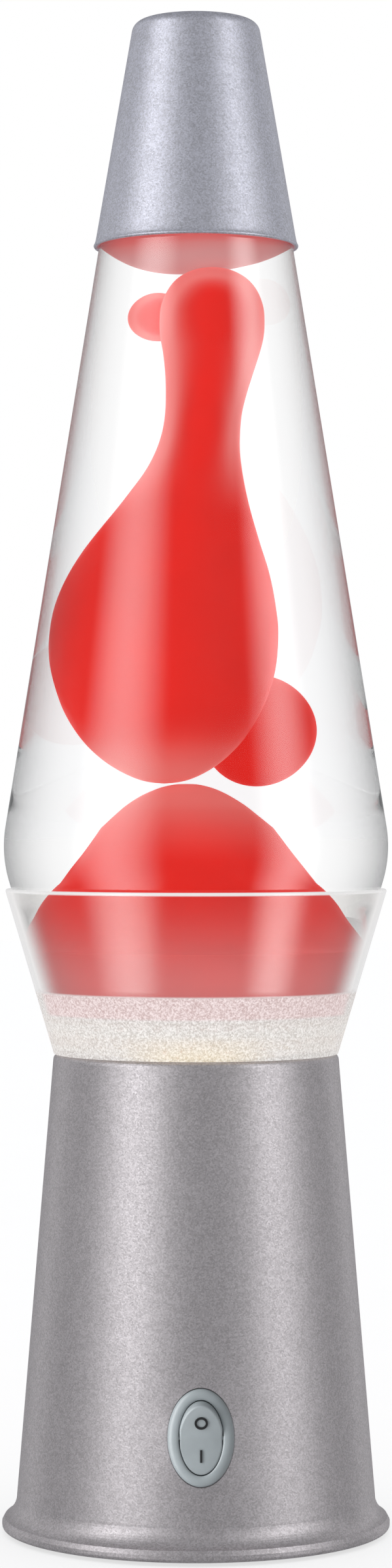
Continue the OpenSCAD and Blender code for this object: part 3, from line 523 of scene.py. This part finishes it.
def globe_outline(inset, floor_z):
    low = (globe_low_r(floor_z) - inset, floor_z)
    corner = (GLOBE_CORNER_R - inset, SHOULDER_Z)
    neck = (NECK_R - inset, CAP_Z)
    high = (globe_top_r(THROAT_Z) - inset, THROAT_Z - inset / 2)
    throat = (FINISH_R - 0.9 - inset, THROAT_Z + 7 - inset / 2)
    top = (FINISH_R - 0.9 - inset, FINISH_Z)
    out = [(0, floor_z)] + rounded((0, floor_z), low, corner, 6 - inset, 14)
    shoulder = rounded(low, corner, neck, SHOULDER, 36)
    heel = out[-1]
    out += [tuple(heel[k] + (shoulder[0][k] - heel[k]) * i / 12 for k in (0, 1)) for i in range(1, 12)]
    out += shoulder
    out += [tuple(shoulder[-1][k] + (neck[k] - shoulder[-1][k]) * i / 30 for k in (0, 1))
            for i in range(1, 31)]
    out += rounded(neck, high, throat, 5, 12) + rounded(high, throat, top, 3, 12) + [top]
    return out


# ---------------------------------------------------------------- globe
outer = globe_outline(0, GLOBE_Z) + [(FINISH_R - 0.5, FINISH_Z + 0.5)]
outer += rounded((FINISH_R, FINISH_Z), (FINISH_R, FINISH_Z + FINISH_H), (0, FINISH_Z + FINISH_H), 1, 6)
outer += [(9, FINISH_Z + FINISH_H)]
inner = globe_outline(GLASS_WALL, GLOBE_Z + 3)
inner = inner[:-1] + [(9, FINISH_Z)]
wet = [p for p in inner if p[1] < LIQUID_TOP - 0.01]
dry = [p for p in inner if p[1] >= LIQUID_TOP - 0.01]
meet = tuple(wet[-1][k] + (dry[0][k] - wet[-1][k]) * (LIQUID_TOP - wet[-1][1]) / (dry[0][1] - wet[-1][1])
             for k in (0, 1))
inner = wet + [meet] + dry
points, faces = lathe(outer + inner[::-1], LATHE_STEPS)
globe = add_mesh("globe", points, faces, [M["globe_glass"], M["globe_inner"]], "globe",
                 ("globe_glass",), 40)
first_inner = len(outer) - 1
for polygon in globe.data.polygons:
    centre = polygon.center / MM
    if polygon.index >= LATHE_STEPS * first_inner and centre.z < LIQUID_TOP:
        polygon.material_index = 1

# The liquid stops a hair inside the glass, so that the inner wall alone bends the light.
film = 0.2
body_outline = [p for p in globe_outline(GLASS_WALL + film, GLOBE_Z + 3 + film) if p[1] < LIQUID_TOP]
body_outline.append((meet[0] - film, LIQUID_TOP))
top_dish = [(meet[0] - film - 1.2 * (1 - math.cos(math.radians(a))),
             LIQUID_TOP - 0.9 * math.sin(math.radians(a)))
            for a in range(15, 91, 15)]
points, faces = lathe(body_outline + top_dish + [(0, LIQUID_TOP - 0.95)], LIQUID_STEPS)
liquid = add_mesh("liquid_body", points, faces, [M["clear_liquid"], M["liquid_top"]],
                  "globe", ("liquid",), 40)
for polygon in liquid.data.polygons:
    if polygon.index >= LIQUID_STEPS * (len(body_outline) - 1):
        polygon.material_index = 1

# ---------------------------------------------------------------- wax: rings of (height, centre, half width), mm
BLOB = [(305.2, 3.10, 0.00), (304.8, 3.10, 2.60), (303.8, 3.10, 5.00), (302.0, 3.10, 7.20),
        (299.2, 3.10, 8.90), (295.6, 3.05, 9.95), (291.5, 3.00, 10.10), (288.0, 2.95, 9.80),
        (284.1, 2.80, 9.05), (279.5, 2.40, 8.20), (274.8, 1.90, 7.50), (270.1, 1.40, 7.05),
        (265.4, 0.95, 7.10), (260.7, 0.35, 7.65), (255.9, -0.40, 8.80), (251.1, -1.40, 10.45),
        (246.3, -2.40, 12.30), (241.6, -3.40, 14.30), (236.8, -4.30, 16.30), (232.0, -4.95, 18.10),
        (227.2, -5.50, 19.50), (222.4, -5.90, 20.50), (217.7, -6.05, 21.05), (212.9, -6.20, 21.15),
        (208.1, -6.20, 20.80), (203.3, -6.15, 19.90), (198.6, -6.20, 18.60), (194.6, -6.20, 17.05),
        (190.6, -6.15, 15.00), (187.4, -6.10, 12.80), (184.6, -6.00, 10.30), (182.3, -5.90, 7.50),
        (180.7, -5.85, 4.70), (180.0, -5.85, 2.40), (179.7, -5.85, 0.00)]
MOUND = [(179.6, -1.70, 0.00), (179.5, -1.75, 2.00), (178.9, -1.85, 4.20), (178.0, -1.85, 6.10),
         (176.6, -1.95, 8.30), (174.4, -1.90, 10.90), (171.8, -1.80, 13.30), (168.6, -1.60, 16.10),
         (165.4, -1.50, 19.00), (162.6, -1.50, 21.80), (159.4, -1.40, 24.80), (155.9, -1.30, 27.10),
         (152.0, -1.20, 28.90), (147.6, -1.00, 31.30)]
LENS = [(303.7, -2.6, 0.0), (303.85, -2.5, 2.6), (304.3, -2.2, 5.4), (305.2, -1.7, 8.4), (306.5, -1.0, 11.4),
        (308.1, -0.5, 13.9), (309.9, -0.2, 15.9), (311.7, 0.0, 17.4), (314.2, 0.0, 18.9), (316.6, 0.0, 19.4)]


def loft(profile, count, steps=128, depth=1.0, forward=None):
    rings = []
    for z, x, w in smooth_curve(profile, count):
        y = forward(z) if forward else 0
        rings.append(oval_ring(max(w, 0), max(w, 0) * depth, z, steps, (x, y)))
    return rings


def head_forward(z):
    """The blob's head leans towards the front of the globe."""
    t = max(0, min(1, (z - 262) / 40))
    return -5.6 * t * t * (3 - 2 * t)


points, faces = rings_to_mesh(loft(BLOB, 150, forward=head_forward))
add_mesh("wax_blob", points, faces, [M["blob_wax"]], "globe", ("main_blob",), 60)

mound_floor = GLOBE_Z + 3.2


def mound_wall_r(z):
    """The wax stands this far out where it lies along the glass."""
    return globe_low_r(z) - GLASS_WALL - WAX_GAP


wall = [(mound_wall_r(z), z) for z in (133.5, 131, 129)]
low_corner = rounded((wall[-1][0], 129), (mound_wall_r(mound_floor), mound_floor), (0, mound_floor), 4, 8)
mound_rings = loft(MOUND, 70)
skirt = [MOUND[-1], (145.0, -0.7, 33.2), (143.2, -0.4, 35.0), (141.6, 0.0, mound_wall_r(141.6))]
for z, x, w in smooth_curve(skirt, 9)[1:]:
    mound_rings.append(oval_ring(w, w, z, 128, (x, 0)))
for z in (139.5, 137, 134.5):
    r = mound_wall_r(z)
    mound_rings.append(oval_ring(r, r, z, 128))
mound_rings += [oval_ring(r, r, z, 128) for r, z in wall[1:] + low_corner]
mound_rings.append([(0, 0, mound_floor)])
points, faces = rings_to_mesh(mound_rings)
add_mesh("wax_mound_body", points, faces, [M["mound_wax"]], "globe", ("wax_mound",), 60)

lens_rings = loft(LENS, 40)
lens_rings.append([(0, 0, 317.0)])
points, faces = rings_to_mesh(lens_rings)
add_mesh("wax_lens", points, faces, [M["lens_wax"]], "globe", ("top_wax",), 60)


def ball(name, node, radius, tall, shift, count=48):
    low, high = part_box(node)
    centre = (low + high) / 2 / MM + Vector(shift)
    rings = []
    for i in range(count + 1):
        a = -90 + 180 * i / count
        z = math.sin(math.radians(a))
        r = radius * math.cos(math.radians(a)) * (1 - 0.05 * z)
        rings.append(oval_ring(0 if i in (0, count) else r, r, centre.z + tall * z, 96, (centre.x, centre.y)))
    points, faces = rings_to_mesh(rings[::-1])
    return add_mesh(name, points, faces, [M["drop_wax"]], "globe", (node,), 60)


ball("wax_drop_high", "high_ball", 4.6, 6.0, (2.3, 0, -1.3))
ball("wax_drop_low", "low_ball", 8.6, 13.76, (0.4, 0, -1.9))

# ---------------------------------------------------------------- cap
top_z = LAMP_H - 1
side = (CAP_TOP_R - CAP_RIM_R) / (top_z - CAP_Z)
cap_outer = [(CAP_RIM_R - 0.4, CAP_Z)] + arc((CAP_RIM_R - 0.22, CAP_Z + 0.42), 0.42, -90, 50, 8)
cap_outer += [(CAP_RIM_R + side * 1.4 + 0.03, CAP_Z + 1.4)]
cap_outer += [(CAP_RIM_R + side * h, CAP_Z + h) for h in range(3, 50, 2)]
cap_outer += rounded((CAP_RIM_R, CAP_Z), (CAP_TOP_R, top_z), (0, LAMP_H), 3, 16)
cap_outer += [(r, LAMP_H - (r / 13) ** 2 * 0.85) for r in (9, 6, 3)] + [(0, LAMP_H)]
cap_inner = [(0, LAMP_H - CAP_WALL)]
cap_inner += rounded((0, LAMP_H - CAP_WALL), (CAP_TOP_R - CAP_WALL, top_z - CAP_WALL),
                     (CAP_RIM_R - CAP_WALL, CAP_Z), 2.2, 10)
cap_inner += [(CAP_RIM_R - CAP_WALL, CAP_Z + 0.2)]
points, faces = lathe(cap_outer + cap_inner, LATHE_STEPS)
add_mesh("cap", points, faces, [M["cap_paint"]], "cap", ("cap_shell",), 40)

# ---------------------------------------------------------------- switch
BEZEL_A, BEZEL_B, BEZEL_T = 7.8, 11.45, 1.5
WINDOW_A, WINDOW_B, WINDOW_T = 5.2, 8.75, 0.8
BARREL_A, BARREL_B, BARREL_D = 6.6, 10.2, 10
PIVOT_Y = -0.4
PIN_R, PIN_REACH = 0.6, 5.7
ROCKER_GAP, ROCKER_RISE, ROCKER_BACK = 0.2, 0.9, 1.6
ROCKER_HALF = WINDOW_A - ROCKER_GAP
SPRING_HOLE_R = 1.45
ROCKER_TILT = math.radians(11)
WALL_TILT = math.atan(8.9 / 107.2)
frame_low, frame_high = corner_mm("switch_frame", 0), corner_mm("switch_frame", 1)
sine, cosine = math.sin(WALL_TILT), math.cos(WALL_TILT)
switch_place = (0, frame_low.y + BEZEL_T * cosine + BEZEL_B * sine,
                frame_high.z - BEZEL_B * cosine - BEZEL_T * sine)
at_switch = Matrix.Translation(switch_place) @ Matrix.Rotation(-WALL_TILT, 4, "X")
at_pivot = at_switch @ Matrix.Translation((0, PIVOT_Y, 0)) @ Matrix.Rotation(ROCKER_TILT, 4, "X")


def placed(points, matrix):
    return [tuple(matrix @ Vector(point)) for point in points]


def upright_ring(a, b, y, steps=128):
    return [(a * math.cos(2 * math.pi * i / steps), y, b * math.sin(2 * math.pi * i / steps))
            for i in range(steps)]


# The bezel's face swells between its rim and the window; behind it the barrel is open at the back.
bezel_face = [(0.0, -0.25), (0.06, -0.45), (0.2, -0.72), (0.42, -0.98), (0.72, -1.2), (1.08, -1.37),
              (1.45, -1.46), (1.8, -1.5), (2.1, -1.48), (2.33, -1.42), (2.5, -1.32), (2.58, -1.2)]
loops = [(BARREL_A, BARREL_B, BARREL_D), (BARREL_A, BARREL_B, 0), (BEZEL_A, BEZEL_B, 0)]
loops += [(BEZEL_A - inset, BEZEL_B - inset * (BEZEL_B - WINDOW_B) / (BEZEL_A - WINDOW_A), y)
          for inset, y in bezel_face]
loops += [(WINDOW_A, WINDOW_B, -1.1), (WINDOW_A, WINDOW_B, -1.04), (PIN_REACH + 0.08, 9.25, -1.04),
          (PIN_REACH + 0.08, 9.25, BARREL_D - 1.2), (4.2, 6.5, BARREL_D - 1.2), (4.2, 6.5, BARREL_D)]
points, faces = rings_to_mesh([upright_ring(*loop) for loop in loops], closed=True)
add_mesh("switch_bezel", placed(points, at_switch), faces, [M["switch_plastic"]], "base",
         ("switch_frame",), 34)


def rocker_reach(x):
    return math.hypot(WINDOW_B * math.sqrt(1 - (x / WINDOW_A) ** 2) - ROCKER_GAP, WINDOW_T)


def rocker_ring(inset, depth):
    """One loop round the rocker at a depth below its two faces, pulled in by inset."""
    ring = []
    for half in (1, -1):
        turn = half * ROCKER_TILT
        for x in [ROCKER_HALF * math.sin(math.radians(a)) for a in range(90, -91, -5)]:
            z = math.sqrt(rocker_reach(x) ** 2 - (ROCKER_RISE - depth) ** 2) - inset
            x_in = x * (ROCKER_HALF - inset) / ROCKER_HALF
            y = depth - ROCKER_RISE
            ring.append((half * x_in, y * math.cos(turn) - half * z * math.sin(turn),
                         y * math.sin(turn) + half * z * math.cos(turn)))
        ring.append((-half * (ROCKER_HALF - inset), (depth - ROCKER_RISE) / math.cos(turn), 0))
    return ring


def rocker_wall(y):
    ring = []
    for half in (1, -1):
        for x in [ROCKER_HALF * math.sin(math.radians(a)) for a in range(90, -91, -5)]:
            ring.append((half * x, y, half * math.sqrt(rocker_reach(x) ** 2 - y ** 2)))
        ring.append((-half * ROCKER_HALF, y, 0))
    return ring


rocker_rings = [rocker_ring(0.42, 0), rocker_ring(0.24, 0.05), rocker_ring(0.09, 0.18), rocker_ring(0, 0.42),
                rocker_wall(0.4), rocker_wall(1.0), rocker_wall(ROCKER_BACK)]
steps = len(rocker_rings[0])
spring_hole = []
for x, y, z in rocker_rings[-1]:
    reach = math.hypot(x, z) / SPRING_HOLE_R
    spring_hole.append((x / reach, z / reach))
rocker_rings += [[(x, y, z) for x, z in spring_hole] for y in (ROCKER_BACK, ROCKER_RISE)]
points, faces = rings_to_mesh(rocker_rings)
half_way = steps // 2
faces.append(list(range(half_way)) + [steps - 1])
faces.append(list(range(half_way - 1, steps)))
faces.append(list(range(len(points) - steps, len(points))))
PIN_STEPS = 24
for end in (-1, 1):
    start = len(points)
    pin_rings = [[(end * x, PIN_R * math.cos(math.radians(a)), PIN_R * math.sin(math.radians(a)))
                  for a in range(0, 360, 360 // PIN_STEPS)] for x in (ROCKER_HALF - 0.1, PIN_REACH)]
    pin, pin_faces = rings_to_mesh(pin_rings)
    points += pin
    faces += [[start + i for i in face] for face in pin_faces]
    faces += [list(range(start, start + PIN_STEPS)), list(range(start + PIN_STEPS, start + 2 * PIN_STEPS))]
add_mesh("switch_rocker", placed(points, at_pivot), faces, [M["switch_plastic"]], "rocker",
         ("rocker",), 30)

# ---------------------------------------------------------------- light
shiny = bpy.data.collections.new("seen_in_glass")
painted = bpy.data.collections.new("seen_in_paint")
moulded = bpy.data.collections.new("seen_in_switch")
SWITCH = ("switch_bezel", "switch_rocker", "rocker_marks")
GLASSY = ("globe", "liquid_body", "wax_blob", "wax_mound_body", "wax_lens", "wax_drop_high",
          "wax_drop_low", "collar")
for obj in bpy.data.objects:
    if obj.type == "MESH":
        (shiny if obj.name in GLASSY else moulded if obj.name in SWITCH else painted).objects.link(obj)


def softbox(name, azimuth, distance, width, low, high, strength, receivers, soft=0.5, lean=0, ends=0.08):
    """A tall lit panel facing the lamp, at an azimuth from the camera's side, fading towards its sides.
    It leans sideways by lean degrees of azimuth for each metre above z = 0.3."""
    mesh = bpy.data.meshes.new(name)
    corners = []
    for x, z in ((-width / 2, low), (width / 2, low), (width / 2, high), (-width / 2, high)):
        a = math.radians(azimuth + lean * (z - 0.3))
        corners.append((math.sin(a) * distance + math.cos(a) * x,
                        -math.cos(a) * distance + math.sin(a) * x, z))
    mesh.from_pydata(corners, [], [(0, 3, 2, 1)])
    uv = mesh.uv_layers.new(name="place")
    for loop, value in zip(uv.data, ((0, 0), (0, 1), (1, 1), (1, 0))):
        loop.uv = value
    material, t = new_material(name)
    spot = t.add("ShaderNodeSeparateXYZ", {"Vector": t.add("ShaderNodeTexCoord").outputs["UV"]}).outputs
    level = strength
    for axis, fade in ((0, soft), (1, ends)):
        off = t.math("ABSOLUTE", t.math("SUBTRACT", spot[axis], 0.5))
        level = t.math("MULTIPLY", t.between(off, 0.5, 0.5 - fade), level)
    light = t.add("ShaderNodeEmission", {"Color": (1, 1, 1, 1), "Strength": level}).outputs[0]
    open_air = t.add("ShaderNodeBsdfTransparent").outputs[0]
    t.surface(t.add("ShaderNodeAddShader", {0: light, 1: open_air}).outputs[0])
    mesh.materials.append(material)
    obj = bpy.data.objects.new(name, mesh)
    scene.collection.objects.link(obj)
    obj.visible_camera = False
    obj.visible_transmission = False
    obj.visible_shadow = False
    obj.light_linking.receiver_collection = receivers
    return obj


softbox("softbox_left", -51, 1.3, 1.7, -0.9, 1.5, 5.2, shiny, soft=0.5)
softbox("softbox_right", 56, 1.3, 1.2, -0.9, 1.5, 5.4, shiny, soft=0.5)
softbox("softbox_back_left", -130, 1.5, 0.9, -0.6, 1.5, 1.0, shiny, soft=0.42)
softbox("softbox_back_right", 135, 1.5, 0.9, -0.6, 1.5, 1.0, shiny, soft=0.42)
softbox("panel_left", -49, 1.3, 1.15, -0.3, 1.7, 2.75, painted, soft=0.45, lean=-22, ends=0.25)
softbox("panel_right", 58, 1.3, 0.95, -0.3, 1.7, 2.3, painted, soft=0.45, ends=0.25)
softbox("panel_back_left", -130, 1.5, 0.9, -0.6, 1.5, 0.5, painted, soft=0.42)
softbox("panel_back_right", 135, 1.5, 0.9, -0.6, 1.5, 0.5, painted, soft=0.42)

softbox("panel_switch", -66, 1.3, 1.5, -0.9, 1.7, 6.5, moulded, soft=0.42)
softbox("panel_switch_top", 20, 0.9, 1.1, 0.5, 1.7, 0.6, moulded, soft=0.42)

lamp = bpy.data.lights.new("bulb_light", "POINT")
lamp.energy = 0.2
lamp.color = (1.0, 0.72, 0.42)
lamp.shadow_soft_size = 0.003
lamp_object = bpy.data.objects.new("bulb_light", lamp)
bulb_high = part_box("bulb_glass")[1]
lamp_object.visible_transmission = False
lamp_object.visible_glossy = False
lamp_object.location = (0, 0, (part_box("globe_glass")[0].z + bulb_high.z) / 2 + 0.004)
scene.collection.objects.link(lamp_object)

world = bpy.data.worlds.new("studio")
scene.world = world
t = Tree(world)
path = t.add("ShaderNodeLightPath").outputs
seen = t.math("MAXIMUM", path["Is Camera Ray"], path["Is Transmission Ray"])
white = t.add("ShaderNodeBackground", {"Color": (1, 1, 1, 1), "Strength": 1.0}).outputs[0]
dim = t.add("ShaderNodeBackground", {"Color": (0.97, 0.98, 1, 1), "Strength": 0.34}).outputs[0]
t.surface(t.add("ShaderNodeMixShader", {0: seen, 1: dim, 2: white}).outputs[0])

floor_mesh = bpy.data.meshes.new("floor")
floor_mesh.from_pydata([(-4, -4, 0), (4, -4, 0), (4, 4, 0), (-4, 4, 0)], [], [(0, 1, 2, 3)])
material, t = new_material("floor")
speck = t.noise(30, 3)
t.surface(t.add("ShaderNodeBsdfPrincipled", {
    "Base Color": t.mix(speck, (0.86, 0.86, 0.86), (0.9, 0.9, 0.9)), "Roughness": 0.6,
    "Specular IOR Level": 0.2,
    "Emission Color": (1, 1, 1, 1), "Emission Strength": 0.7}).outputs[0])
floor_mesh.materials.append(material)
floor = bpy.data.objects.new("floor", floor_mesh)
scene.collection.objects.link(floor)
floor.visible_glossy = False
floor.visible_shadow = False
